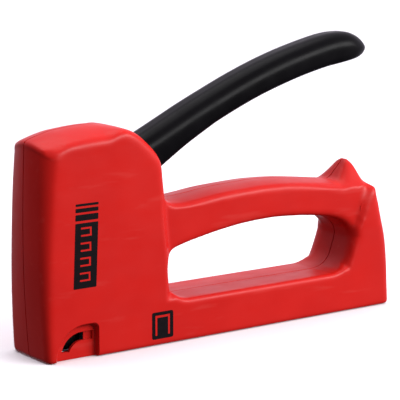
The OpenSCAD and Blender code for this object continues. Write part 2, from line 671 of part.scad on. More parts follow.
left_housing();
right_housing();
housing_screws();
nose_plate();
plunger_guide();
spring_cap();
main_spring();
rubber_bumper();
magazine_channel();
handle_pivot_pin();
pivot_washers();
handle_return_spring();
handle_grip();
lever_arm();
pawl_pin();
pawl_spring();
lift_pawl();
plunger();
driver_blade();
driver_rivets();
magazine_rail();
guide_rod();
rod_clip();
magazine_end_cap();
end_cap_pin();
magazine_detent();
pusher_spring();
staple_pusher();
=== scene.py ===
import json
import math

import bmesh
import bpy
import numpy as np
from mathutils import Matrix, Vector
from mathutils.kdtree import KDTree


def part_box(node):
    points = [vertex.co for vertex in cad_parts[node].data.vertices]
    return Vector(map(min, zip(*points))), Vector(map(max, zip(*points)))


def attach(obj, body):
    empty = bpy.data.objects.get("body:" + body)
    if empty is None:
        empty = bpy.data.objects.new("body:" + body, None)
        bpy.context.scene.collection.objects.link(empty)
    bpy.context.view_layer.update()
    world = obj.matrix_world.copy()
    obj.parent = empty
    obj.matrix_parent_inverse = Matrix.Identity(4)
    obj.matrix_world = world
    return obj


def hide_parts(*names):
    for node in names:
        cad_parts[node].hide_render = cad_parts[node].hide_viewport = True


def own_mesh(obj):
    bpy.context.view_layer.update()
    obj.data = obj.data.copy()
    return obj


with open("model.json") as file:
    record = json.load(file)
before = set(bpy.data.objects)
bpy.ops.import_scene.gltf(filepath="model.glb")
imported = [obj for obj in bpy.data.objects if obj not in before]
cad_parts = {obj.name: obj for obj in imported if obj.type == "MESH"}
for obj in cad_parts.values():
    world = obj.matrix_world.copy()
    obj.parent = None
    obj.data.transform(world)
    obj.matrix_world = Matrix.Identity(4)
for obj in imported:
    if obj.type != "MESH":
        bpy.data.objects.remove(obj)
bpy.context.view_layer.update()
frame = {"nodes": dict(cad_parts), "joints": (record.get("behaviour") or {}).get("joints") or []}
mm = 0.001      # shapes are built in millimetres and scaled to metres at the end
print("frame loaded")


class Value:    # a node's output; arithmetic on it adds Math nodes
    def __init__(self, net, socket):
        self.net = net
        self.socket = socket

    def math(self, operation, *terms):
        return self.net.node("Math", {"operation": operation}, dict(enumerate(terms)))

    def __add__(self, other):
        return self.math("ADD", self, other)

    def __mul__(self, other):
        return self.math("MULTIPLY", self, other)

    __radd__ = __add__
    __rmul__ = __mul__


class Net:      # one material and its nodes
    def __init__(self, name):
        self.material = bpy.data.materials.new(name)
        self.material.use_nodes = True
        self.tree = self.material.node_tree
        self.tree.nodes.clear()
        self.shader = self.tree.nodes.new("ShaderNodeBsdfPrincipled")
        output = self.tree.nodes.new("ShaderNodeOutputMaterial")
        self.tree.links.new(self.shader.outputs[0], output.inputs["Surface"])
        self.place = self.node("TexCoord", {}, {}, "Object")

    def node(self, kind, settings, inputs, output=0):
        made = self.tree.nodes.new("ShaderNode" + kind)
        for key, value in settings.items():
            setattr(made, key, value)
        for key, value in inputs.items():
            self.feed(made.inputs[key], value)
        return Value(self, made.outputs[output])

    def feed(self, socket, value):
        if isinstance(value, Value):
            self.tree.links.new(value.socket, socket)
        else:
            socket.default_value = value

    def set(self, **inputs):
        for key, value in inputs.items():
            self.feed(self.shader.inputs[key.replace("_", " ")], value)

    def noise(self, size, detail=2.0, stretch=(1, 1, 1), rough=0.5):     # size in mm
        scale = tuple(s / (size * mm) for s in stretch)
        spot = self.node("Mapping", {}, {"Vector": self.place, "Scale": scale})
        return self.node("TexNoise", {}, {"Vector": spot, "Scale": 1.0, "Detail": detail, "Roughness": rough})

    def mix(self, factor, first, second):
        return self.node("Mix", {"data_type": "RGBA"}, {0: factor, 6: first, 7: second}, 2)

    def spread(self, value, low, high, outLow=0.0, outHigh=1.0):
        return self.node("MapRange", {}, {0: value, 1: low, 2: high, 3: outLow, 4: outHigh})

    def bump(self, height, depth, before=None):      # depth in mm
        inputs = {"Height": height, "Distance": depth * mm, "Strength": 1.0}
        if before:
            inputs["Normal"] = before
        return self.node("Bump", {}, inputs)


def rgb(r, g, b):
    return (r, g, b, 1.0)


plasticLook = {
    "red": rgb(0.600, 0.0125, 0.0085), "redDeep": rgb(0.545, 0.0105, 0.0075),
    "redScuff": rgb(0.70, 0.10, 0.08), "redRough": (0.30, 0.42), "redShine": 0.17,
    "grainSize": 0.35, "grainDepth": 0.006, "waveDepth": 0.02,
}


def redPlastic():
    look = plasticLook
    net = Net("redPlastic")
    cloud = net.noise(22, 3)
    flow = net.noise(6, 4, (0.5, 1, 1))
    grain = net.noise(look["grainSize"], 3, rough=0.6)
    scuff = net.spread(net.noise(3.2, 6, (0.15, 1, 1)), 0.60, 0.72)
    colour = net.mix(net.spread(cloud, 0.3, 0.7), look["redDeep"], look["red"])
    colour = net.mix(scuff * 0.10, colour, look["redScuff"])
    low, high = look["redRough"]
    net.set(Base_Color=colour, Roughness=net.spread(flow, 0.3, 0.7, low, high) + scuff * 0.08,
            Normal=net.bump(grain, look["grainDepth"], net.bump(cloud, look["waveDepth"])))
    net.set(Specular_IOR_Level=look["redShine"])
    return net.material


blackLook = {
    # base colour, dust colour, roughness low and high, shine, grain size and depth in mm
    "blackGrip": (rgb(0.0016, 0.0014, 0.0018), rgb(0.0026, 0.0023, 0.0030), 0.28, 0.36, 0.06, 0.45, 0.010),
    "blackNylon": (rgb(0.018, 0.018, 0.020), rgb(0.040, 0.040, 0.043), 0.42, 0.60, 0.30, 0.30, 0.008),
    "blackRubber": (rgb(0.014, 0.014, 0.014), rgb(0.040, 0.038, 0.036), 0.70, 0.88, 0.30, 0.60, 0.020),
}


def darkPlastic(name):
    base, dusty, low, high, shine, grainSize, grainDepth = blackLook[name]
    net = Net(name)
    cells = net.node("TexVoronoi", {"feature": "SMOOTH_F1"},
                     {"Vector": net.place, "Scale": 1 / (grainSize * mm)})
    cloud = net.noise(14, 4)
    fine = net.noise(grainSize * 0.4, 3)
    dust = net.spread(cloud, 0.45, 0.75)
    net.set(Base_Color=net.mix(dust, base, dusty),
            Roughness=net.spread(net.noise(5, 4), 0.3, 0.7, low, high),
            Normal=net.bump(cells, grainDepth, net.bump(fine, grainDepth * 0.4)))
    net.set(Specular_IOR_Level=shine)
    return net.material


metalLook = {
    # base colour, shade between the lines, roughness low and high, line size in mm, stretch
    # near-black steel for the staple pusher: partly its own black finish, partly painted shade that keeps the
    # sight slot dark
    "blackSteelPaintedShade": (rgb(0.030, 0.030, 0.032), rgb(0.018, 0.018, 0.020), 0.30, 0.45, 0.4, (1, 1, 1)),
    "zincSteel": (rgb(0.62, 0.63, 0.62), rgb(0.50, 0.52, 0.53), 0.22, 0.36, 0.8, (1, 1, 1)),
    "pressedSteel": (rgb(0.52, 0.53, 0.55), rgb(0.42, 0.43, 0.45), 0.28, 0.46, 0.25, (0.03, 1, 1)),
    "hardSteel": (rgb(0.40, 0.40, 0.41), rgb(0.29, 0.29, 0.31), 0.24, 0.42, 0.2, (1, 1, 0.04)),
    "springSteel": (rgb(0.50, 0.50, 0.52), rgb(0.38, 0.38, 0.41), 0.20, 0.34, 0.3, (1, 1, 1)),
}


def metal(name):
    light, shade, low, high, size, stretch = metalLook[name]
    net = Net(name)
    lines = net.noise(size, 5, stretch, 0.6)
    cloud = net.noise(7, 4)
    spots = net.spread(net.noise(1.3, 5), 0.62, 0.74)
    colour = net.mix(net.spread(lines, 0.3, 0.7), shade, light)
    colour = net.mix(spots * 0.35, colour, rgb(0.26, 0.23, 0.20))
    net.set(Base_Color=colour, Metallic=1.0, Normal=net.bump(lines, 0.008),
            Roughness=net.spread(cloud, 0.3, 0.7, low, high) + spots * 0.2)
    return net.material


inkLook = {
    "ink": rgb(0.006, 0.005, 0.006), "worn": rgb(0.10, 0.006, 0.005), "rough": (0.34, 0.46), "shine": 0.08,
}


def printInk():
    look = inkLook
    low, high = look["rough"]
    net = Net("printInk")
    thin = net.spread(net.noise(0.5, 5), 0.66, 0.80)
    net.set(Base_Color=net.mix(thin * 0.5, look["ink"], look["worn"]),
            Roughness=net.spread(net.noise(2, 3), 0.3, 0.7, low, high),
            Normal=net.bump(net.noise(0.3, 3), 0.004))
    net.set(Specular_IOR_Level=look["shine"])
    return net.material


redMaterial = redPlastic()
gripMaterial = darkPlastic("blackGrip")
nylonMaterial = darkPlastic("blackNylon")
rubberMaterial = darkPlastic("blackRubber")
inkMaterial = printInk()
steel = {name: metal(name) for name in metalLook}
print("materials made")


def smoothRun(points, steps=8):     # even curve through the points; a third value, if any, goes along
    run = []
    last = len(points) - 1
    for i in range(last):
        around = [points[max(0, min(last, j))] for j in range(i - 1, i + 3)]
        for t in np.arange(steps) / steps:
            run.append(tuple(
                (2 * b + (c - a) * t + (2 * a - 5 * b + 4 * c - d) * t * t
                 + (3 * b - a - 3 * c + d) * t ** 3) / 2
                for a, b, c, d in zip(*around)))
    return run + [tuple(points[-1])]


def arcRun(x, z, radius, start, end, edge=0.0, steps=12):
    angles = np.radians(np.linspace(start, end, steps + 1))
    return [(x + radius * math.cos(a), z + radius * math.sin(a), edge) for a in angles]


# side-view outlines between two planes: the first is the outside and any others are holes
def prism(outlines, y0, y1):
    bm = bmesh.new()
    for outline in outlines:
        verts = [bm.verts.new((p[0], y0, p[1])) for p in outline]
        for a, b in zip(verts, verts[1:] + verts[:1]):
            bm.edges.new((a, b))
    made = bmesh.ops.triangle_fill(bm, use_beauty=True, use_dissolve=len(outlines) == 1, edges=bm.edges[:])
    faces = [f for f in made["geom"] if isinstance(f, bmesh.types.BMFace)]
    grown = bmesh.ops.extrude_face_region(bm, geom=faces, use_keep_orig=True)["geom"]
    moved = [v for v in grown if isinstance(v, bmesh.types.BMVert)]
    bmesh.ops.translate(bm, vec=(0, y1 - y0, 0), verts=moved)
    bmesh.ops.recalc_face_normals(bm, faces=bm.faces[:])
    return bm


def block(x0, x1, y0, y1, z0, z1, edge=0.0):
    bm = bmesh.new()
    bmesh.ops.create_cube(bm, size=1)
    bmesh.ops.scale(bm, vec=(x1 - x0, y1 - y0, z1 - z0), verts=bm.verts[:])
    bmesh.ops.translate(bm, vec=((x0 + x1) / 2, (y0 + y1) / 2, (z0 + z1) / 2), verts=bm.verts[:])
    if edge:
        rounded(bm, bm.edges[:], edge)
    return bm


def rounded(bm, edges, size, steps=3):
    bmesh.ops.bevel(bm, geom=edges, offset=size, offset_type="OFFSET", segments=steps, profile=0.5,
                    affect="EDGES", clamp_overlap=True, material=-1)


def across(x, z, radius, y0, y1, segments=48):      # round bar along Y
    bm = bmesh.new()
    bmesh.ops.create_cone(bm, cap_ends=True, segments=segments, radius1=radius, radius2=radius, depth=y1 - y0)
    bmesh.ops.rotate(bm, matrix=Matrix.Rotation(math.radians(-90), 3, "X"), verts=bm.verts[:])
    bmesh.ops.translate(bm, vec=(x, (y0 + y1) / 2, z), verts=bm.verts[:])
    return bm


def meshOf(bm, name="part"):
    mesh = bpy.data.meshes.new(name)
    bm.to_mesh(mesh)
    bm.free()
    return mesh


def added(name, data):      # a new object in the scene
    o = bpy.data.objects.new(name, data)
    bpy.context.collection.objects.link(o)
    return o


# modifiers are pairs of type and settings; a bmesh among the settings becomes a helper object
def evaluated(mesh, modifiers):
    base = added("base", mesh)
    helpers = []
    for kind, settings in modifiers:
        modifier = base.modifiers.new(kind, kind)
        for key, value in settings.items():
            if isinstance(value, bmesh.types.BMesh):
                value = added("tool", meshOf(value))
                helpers.append(value)
            setattr(modifier, key, value)
    bpy.context.view_layer.update()
    result = bpy.data.meshes.new_from_object(base.evaluated_get(bpy.context.evaluated_depsgraph_get()))
    for o in [base, *helpers]:
        used = o.data
        bpy.data.objects.remove(o)
        bpy.data.meshes.remove(used)
    return result


def carved(mesh, cutters=(), additions=()):
    steps = [("DIFFERENCE", c) for c in cutters] + [("UNION", a) for a in additions]
    return evaluated(mesh, [("BOOLEAN", {"operation": operation, "solver": "MANIFOLD", "object": tool})
                            for operation, tool in steps])


def remeshed(bm, voxel):
    return evaluated(meshOf(bm), [("REMESH", {"mode": "VOXEL", "voxel_size": voxel})])


def piece(name, mesh, material, body, slot, *nodes, sharp=32):
    bm = bmesh.new()
    bm.from_mesh(mesh)
    bmesh.ops.remove_doubles(bm, verts=bm.verts[:], dist=1e-4)
    bmesh.ops.dissolve_degenerate(bm, edges=bm.edges[:], dist=1e-4)
    bmesh.ops.recalc_face_normals(bm, faces=bm.faces[:])
    for f in bm.faces:
        f.smooth = True
    for e in bm.edges:
        e.smooth = len(e.link_faces) == 2 and e.calc_face_angle() < math.radians(sharp)
    bmesh.ops.scale(bm, vec=(mm, mm, mm), verts=bm.verts[:])
    made = meshOf(bm, name)
    made.materials.clear()
    made.materials.append(material)
    bpy.data.meshes.remove(mesh)
    o = added(name, made)
    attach(o, body)
    if nodes:
        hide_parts(*nodes)
    print("made", name, len(made.polygons), "faces")
    return o


def ramp(value, start, end):
    t = np.clip((value - start) / (end - start), 0, 1)
    return t * t * (3 - 2 * t)


def nearest(run, spots):    # distance to the line, nearest point on it and the edge radius there
    spacing = 0.25      # between the samples of the line
    line = np.array(run, float)
    gaps = np.linalg.norm(np.diff(line[:, :2], axis=0), axis=1)
    along = np.concatenate([[0], np.cumsum(gaps)])
    even = np.linspace(0, along[-1], max(3, int(along[-1] / spacing)))
    line = np.stack([np.interp(even, along, line[:, k]) for k in range(3)], axis=1)
    tree = KDTree(len(line))
    for i, p in enumerate(line):
        tree.insert((p[0], p[1], 0), i)
    tree.balance()
    index = np.array([tree.find((x, z, 0))[1] for x, z in spots])
    best = np.full(len(spots), 1e9)
    point = np.zeros((len(spots), 2))
    for step in (-1, 0):
        a = line[np.clip(index + step, 0, len(line) - 2)]
        b = line[np.clip(index + step, 0, len(line) - 2) + 1]
        way = b[:, :2] - a[:, :2]
        t = np.clip(((spots - a[:, :2]) * way).sum(1) / np.maximum((way ** 2).sum(1), 1e-12), 0, 1)
        foot = a[:, :2] + way * t[:, None]
        d = np.linalg.norm(spots - foot, axis=1)
        closer = d < best
        best[closer] = d[closer]
        point[closer] = foot[closer]
    return best, point, line[index, 2]


def moulded(outline, holes, half, voxel, widthAt, spare=1.25):
    # a slab of even thickness, whose sides then take their own width
    # and whose rims are rounded by the third value of each run
    loops = [[p for run in runs for p in run[:-1]] for runs in [outline, *holes]]
    leastFlat = 0.6     # of the half width, left between the rim and the middle
    mesh = remeshed(prism(loops, -half, half), voxel)
    co = np.zeros(len(mesh.vertices) * 3)
    mesh.vertices.foreach_get("co", co)
    co = co.reshape(-1, 3)
    spots = co[:, [0, 2]].copy()
    found = [nearest(run, spots) for runs in [outline, *holes] for run in runs]     # one row for each run
    distance = np.min([f[0] for f in found], axis=0)
    closest = np.argmin([f[0] for f in found], axis=0)
    inside = half - np.abs(co[:, 1])
    onSide = (inside < voxel * 0.6) & (inside <= distance)
    onRim = (distance < voxel * 0.6) & ~onSide      # drawn onto the outline itself
    co[onSide, 1] = np.sign(co[onSide, 1]) * half
    foot = np.stack([f[1] for f in found])[closest, np.arange(len(co))]
    spots[onRim] = foot[onRim]
    width = widthAt(spots[:, 0], spots[:, 1])
    inset = np.zeros(len(co))
    move = np.zeros((len(co), 2))
    for d, point, radius in found:
        d = np.where(onRim, np.where(d < voxel * 0.7, 0, d), d)
        radius = np.minimum(radius, width - leastFlat)
        zone = radius * spare       # the rim gathers its points from a little further in
        angle = np.clip(d / zone, 0, 1) * math.pi / 2
        depth = radius * (1 - np.sin(angle))
        eased = d - (zone - radius) * (1 - ramp(d, zone, zone * 2))
        newD = np.where(d < zone, radius * (1 - np.cos(angle)), eased)
        shift = (spots - point) * ((newD / np.maximum(d, 1e-6)) - 1)[:, None]
        deeper = depth > inset
        inset[deeper] = depth[deeper]
        take = deeper & ~onRim & (d > 1e-6)
        move[take] = shift[take]
    co[:, 1] *= (width - inset) / half
    co[:, [0, 2]] = spots + move
    mesh.vertices.foreach_set("co", co.ravel())
    return mesh, co


def relaxed(mesh, rounds, x=0.0, z=0.0, reach=1e3, inner=0.0):      # smooths what lies round x, z
    bm = bmesh.new()
    bm.from_mesh(mesh)
    near = [v for v in bm.verts if math.hypot(v.co.x - x, v.co.z - z) < reach and abs(v.co.y) > inner]
    for _ in range(rounds):
        bmesh.ops.smooth_vert(bm, verts=near, factor=0.5, use_axis_x=True, use_axis_y=True, use_axis_z=True)
    bm.to_mesh(mesh)
    bm.free()
    return mesh


housing = {
    "halfWidth": 13.7, "gripHalfWidth": 11.2, "wall": 2.2, "voxel": 0.6, "baseHeight": 16.3, "loopTop": 42.4,
    "gripTop": 56.8, "hornTop": 60.6, "hornTaper": 4.0, "columnDepth": 19.0, "headLength": 53.6,
    "noseBulge": 2.1, "noseCurve": 1.8,                 # in side view
    "noseCrown": (0.2, 1.6), "noseSpan": 10.0,          # across, at the foot and at the top
    "roofCrown": 2.6, "roofSpan": 10.7, "gripCrown": 0.85, "gripSpan": 8.0,
    "parting": (0.25, 0.60),                            # half width and depth of the groove
    "scoopAt": (16.0, 55.0), "scoopSize": (4.2, 3.6), "scoopDepth": 1.3,     # place from the rear, and height
    "blends": ((14.5, 43.0, 6, 16), (11.0, 46.0, 5, 10)),       # from the rear, height, reach and rounds
    "trackFit": 0.05, "bayFit": 0.3, "wayOutFit": 1.0,
}
clear = 9       # how far cutters stand past the tool
boxLow, boxHigh = (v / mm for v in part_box("left_housing"))
nose = boxLow.x + housing["noseBulge"]      # foot of the nose
rear = boxHigh.x
top = boxHigh.z
headEnd = nose + housing["headLength"]
loopEnd = rear - housing["columnDepth"]


def housingOutline():
    h = housing
    mid = 0.47 * top

    def noseLine(z):
        reach = mid if z < mid else 1.1 * (top - mid)
        return nose - h["noseCurve"] * (1 - ((z - mid) / reach) ** 2)

    front = [(nose + 0.9, 0, 0.6)]
    front += [(noseLine(z), z, 2.4 + 0.03 * z) for z in np.linspace(0.8, top - 6.4, 26)]
    roof = smoothRun([
        front[-1], (nose - 0.7, top - 5.0, 4.4), (nose + 0.8, top - 3.7, 2.6), (nose + 8.6, top - 1.5, 1.6),
        (nose + 14, top - 0.7, 1.6), (nose + 22, top, 1.8), (nose + 29, top, 2.0),
        (nose + 36.5, top - 1.3, 2.8), (nose + 40.6, top - 3.1, 3.2), (nose + 44.1, top - 5.8, 3.4),
        (nose + 48.7, top - 10.4, 3.4),
        (nose + 51.5, top - 15.2, 3.2), (nose + 52.3, top - 21.5, 3.0), (nose + 52.7, 60.2, 2.6),
        (nose + 53.3, 57.0, 2.2), (nose + 55.4, 54.9, 2.0)])
    grip = h["gripTop"]
    horn = h["hornTop"]
    hornX = rear - 15.2
    bar = smoothRun([
        roof[-1], (nose + 62, grip - 2.6, 1.9), (nose + 70, grip - 2, 1.9), (nose + 81, grip - 0.8, 1.9),
        (nose + 98, grip, 1.9), (hornX - 44, grip, 1.9), (hornX - 34, grip - 0.5, 1.9),
        (hornX - 23, grip - 1.7, 2.2), (hornX - 12, grip - 3.1, 3.4), (hornX - 7.6, grip - 3.2, 5.0),
        (hornX - 3.4, grip + 0.6, 5.6), (hornX, horn, 5.8), (hornX + 2, horn - 1, 5.8),
        (hornX + 3.6, horn - 4, 5.4), (hornX + 5, horn - 8, 4.6), (hornX + 6.6, horn - 10, 3.6),
        (rear - 7.4, 49.8, 2.8), (rear - 6.6, 48.5, 2.8), (rear - 6.2, 46.4, 3.4), (rear - 3.9, 37.6, 3.8),
        (rear - 1.6, 28.6, 3.8), (rear - 0.4, 18, 3.6), (rear, 8, 3.2), (rear, 1.0, 2.4)])
    bottom = [bar[-1], (rear - 1.0, 0, 0.6), front[0]]
    return [front, roof, bar, bottom]


def loopOutline():
    base = housing["baseHeight"]
    t = housing["loopTop"]
    left = arcRun(headEnd + 9.9, base + 9, 9, 270, 180, 1.6)
    upper = smoothRun([
        left[-1], (headEnd + 0.7, t - 12.9, 1.5), (headEnd + 1.6, t - 10.0, 1.5), (headEnd + 4, t - 7, 1.5),
        (headEnd + 9, t - 5.4, 1.5), (headEnd + 15, t - 4.1, 1.5), (headEnd + 26, t - 2.1, 1.5),
        (headEnd + 38, t - 0.6, 1.5), (headEnd + 50, t, 1.5), (loopEnd - 36, t - 0.1, 1.5),
        (loopEnd - 24, t - 1, 1.7), (loopEnd - 12, t - 2.8, 2.2), (loopEnd - 5, t - 5.4, 2.8),
        (loopEnd - 1, t - 9, 3.4), (loopEnd, t - 12.4, 3.6)])
    right = smoothRun([
        upper[-1], (loopEnd - 1.4, base + 9, 3.0), (loopEnd - 3.4, base + 4.2, 2.2),
        (loopEnd - 6.8, base + 1.2, 1.7), (loopEnd - 11.4, base, 1.6)])
    lower = [right[-1], left[0]]
    return [left, upper, right, lower]


def housingWidth(x, z):
    h = housing
    # where the head stops being wide and the column starts to be, by height
    headEdge = headEnd + np.interp(z, [30, 37, 44.5, 53.2], [0.64, 0.14, -0.66, -1.36])
    columnEdge = rear - np.interp(z, [16.7, 22.1, 27.6, 33.9, 40.3, 43.7, 46.5, 49],
                                  [22.93, 20.73, 18.93, 16.93, 14.83, 13.53, 11.93, 10.13])
    inHead = 1 - ramp(x, headEdge - 2.0, headEdge + 2.0)
    inColumn = ramp(x, columnEdge - 1.4, columnEdge + 1.4)
    inBase = 1 - ramp(z, h["baseHeight"] + 0.3, h["baseHeight"] + 3.3)
    wide = np.maximum(inHead, np.maximum(inColumn, inBase))
    onHorn = ramp(z, h["hornTop"] - 11.6, h["hornTop"] + 0.4) * ramp(x, rear - 33.53, rear - 21.53)
    narrow = h["gripHalfWidth"] - h["hornTaper"] * onHorn
    return narrow + (h["halfWidth"] - h["gripHalfWidth"]) * wide


def outerHousing():
    h = housing
    mesh, co = moulded(housingOutline(), [loopOutline()], h["halfWidth"], h["voxel"], housingWidth)
    x, y, z = co[:, 0].copy(), np.abs(co[:, 1]), co[:, 2].copy()
    nearSlot = ramp(x, nose + 26, nose + 36)        # flatter beside the way out of the handle
    roof = ramp(z, 62, top - 4) * (1 - ramp(x, headEnd - 2, headEnd + 2)) * (1 - 0.9 * nearSlot)
    co[:, 2] -= h["roofCrown"] * (y / h["roofSpan"]) ** 2 * roof
    bulge = np.interp(z, [0, 80], h["noseCrown"])
    co[:, 0] += bulge * (y / h["noseSpan"]) ** 2 * (1 - ramp(x, nose - 2, nose + 14))
    onGrip = ramp(x, headEnd - 1, headEnd + 5) * ramp(z, 50, 54)
    co[:, 2] -= h["gripCrown"] * (y / h["gripSpan"]) ** 2 * onGrip
    fromRear, height = h["scoopAt"]
    long, high = h["scoopSize"]
    far = ((x - rear + fromRear) / long) ** 2 + ((z - height) / high) ** 2
    scoop = h["scoopDepth"] * np.exp(-far) * ramp(y, 2, 5)      # hollowed sides of the horn
    co[:, 1] -= np.sign(co[:, 1]) * scoop
    mesh.vertices.foreach_set("co", co.ravel())
    for fromRear, height, reach, rounds in h["blends"]:
        relaxed(mesh, rounds, rear - fromRear, height, reach, 5)
    return relaxed(mesh, 3)


def shifted(line, offset):      # the closed line moved sideways, to the left of its own direction
    spots = np.array([p[:2] for p in line])
    spots = spots[np.linalg.norm(spots - np.roll(spots, 1, axis=0), axis=1) > 1e-4]
    way = np.roll(spots, -1, axis=0) - np.roll(spots, 1, axis=0)
    way /= np.linalg.norm(way, axis=1)[:, None]
    return [tuple(p) for p in spots + offset * np.stack([-way[:, 1], way[:, 0]], axis=1)]


def partingCutters():       # the fine groove that runs round the tool where the halves meet
    width, depth = housing["parting"]
    outside = [p for run in housingOutline() for p in run[:-1]]
    loop = [p for run in loopOutline() for p in run[:-1]]
    around = [(nose - clear, -clear), (nose - clear, top + clear), (rear + clear, top + clear),
              (rear + clear, -clear)]
    return [prism([around, shifted(outside, -depth)], -width, width),
            prism([shifted(loop, depth)], -width, width)]


recess = {
    "x": nose + 16, "z": 0.8, "radius": 12.0, "end": nose + 21.9, "corner": 2.2, "depth": 2.8, "lip": 0.5,
    "slotIn": 5.6, "slotOut": 8.9, "slotEnd": nose + 17.4, "grooveDepth": 1.0,
    "skin": 1.3, "inward": 0.6,     # what stays behind the recess, and how far the cuts reach into the track
}


def recessCutters(s):
    r = recess
    half = housing["halfWidth"]
    end = r["end"]
    high = r["z"] + r["radius"]
    ring = ([(r["x"] - r["radius"], -2, 0)] + arcRun(r["x"], r["z"], r["radius"], 180, 90)
            + arcRun(end - r["corner"], high - r["corner"], r["corner"], 90, 0, steps=5) + [(end, -2, 0)])
    floor = half - r["depth"]
    pocket = prism([ring], floor * s, (half + 1) * s)
    rounded(pocket, [e for e in pocket.edges if all(abs(v.co.y - floor * s) < 1e-3 for v in e.verts)], 0.6)
    lip = prism([ring], (half - r["lip"]) * s, (half + r["lip"]) * s)
    for v in lip.verts:     # opens outwards, which leaves a chamfer
        if abs(v.co.y) > half:
            near = Vector((r["x"] + 2, 0, r["z"] + 2))
            away = Vector((v.co.x, 0, v.co.z)) - near
            v.co += away.normalized() * 2 * r["lip"]
    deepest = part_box("magazine_channel")[1].y / mm - r["inward"]
    slotLow = r["z"] + r["slotIn"]
    slotHigh = r["z"] + r["slotOut"]
    outerArc = arcRun(r["x"], r["z"], r["slotOut"], 166, 90)
    innerArc = arcRun(r["x"], r["z"], r["slotIn"], 90, 160)
    slot = prism([outerArc + [(r["slotEnd"], slotHigh, 0), (r["slotEnd"], slotLow, 0)] + innerArc],
                 deepest * s, (floor + 1) * s)
    y0, y1 = sorted(((floor - r["grooveDepth"]) * s, (floor + 1) * s))
    groove = block(r["slotEnd"] - 0.1, end - 1, y0, y1, slotLow, slotHigh)
    y0, y1 = sorted((deepest * s, (floor - r["skin"]) * s))
    behind = block(r["x"] - r["slotOut"] - 0.6, r["slotEnd"] + 3.4, y0, y1, r["z"] + 1.4, slotHigh + 0.5)
    return [pocket, lip, slot, groove, behind]


def headHollow(s):
    wall = housing["wall"]
    inner = housing["halfWidth"] - wall
    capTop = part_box("spring_cap")[1].z / mm
    roof = top - wall - 3.2
    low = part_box("magazine_channel")[1].z / mm + 3
    outline = [(nose + 2, low), (nose + 2, capTop - 6), (nose + 4.4, capTop), (nose + 19, capTop),
               (nose + 21, roof), (nose + 35, roof), (nose + 42, roof - 6), (nose + 46.4, top - 17),
               (nose + 48.2, 60), (nose + 48.6, 50), (nose + 50, 36), (headEnd - wall, 24),
               (headEnd - wall, low)]
    room = prism([outline], -0.5 * s, inner * s)
    rounded(room, [e for e in room.edges if all(abs(v.co.y - inner * s) < 1e-3 for v in e.verts)], 3.2, 2)
    return room


def gripHollows(s):
    width = (housing["gripHalfWidth"] - 0.7 - housing["wall"]) * s
    t = housing["loopTop"]
    grip = housing["gripTop"]
    bar = [(nose + 46, 40), (headEnd + 8, t - 1.6), (headEnd + 34, t + 1.4), (headEnd + 50, t + 2.4),
           (loopEnd - 34, t + 2.4), (loopEnd - 14, t + 0.4), (loopEnd - 4, t - 1), (loopEnd - 4, grip - 6.4),
           (rear - 38, grip - 4.8), (nose + 98, grip - 2.8), (nose + 46, grip - 5.6)]
    column = [(loopEnd + 2.4, 17.2), (rear - 3, 17.2), (rear - 4.6, 28), (rear - 7.4, 38), (rear - 9.6, 45.4),
              (loopEnd - 6, 45.4), (loopEnd - 6, t), (loopEnd + 1, t - 5.4)]
    return [prism([o], -0.5 * s, width) for o in (bar, column)]


screws = {
    # place along and up the housing, and its half width there
    "spots": [(nose + 26.5, top - 12, 13.7), (nose + 26.5, 24, 13.7), (headEnd + 4, 46.5, 11.2),
              (loopEnd - 27, 48.6, 11.2), (rear - 12, 41, 13.7), (rear - 10.5, 25, 13.7)],
    "headRadius": 2.9, "headHeight": 1.8, "seat": 2.6, "shankRadius": 1.45, "end": 8.0, "threadPitch": 0.9,
    "core": 0.8, "crossLong": 1.75, "crossWide": 0.36, "crossDeep": 1.1,
    "bossRadius": 3.4, "holeRadius": 1.7, "threadHole": 1.47, "headHole": 3.15,
}


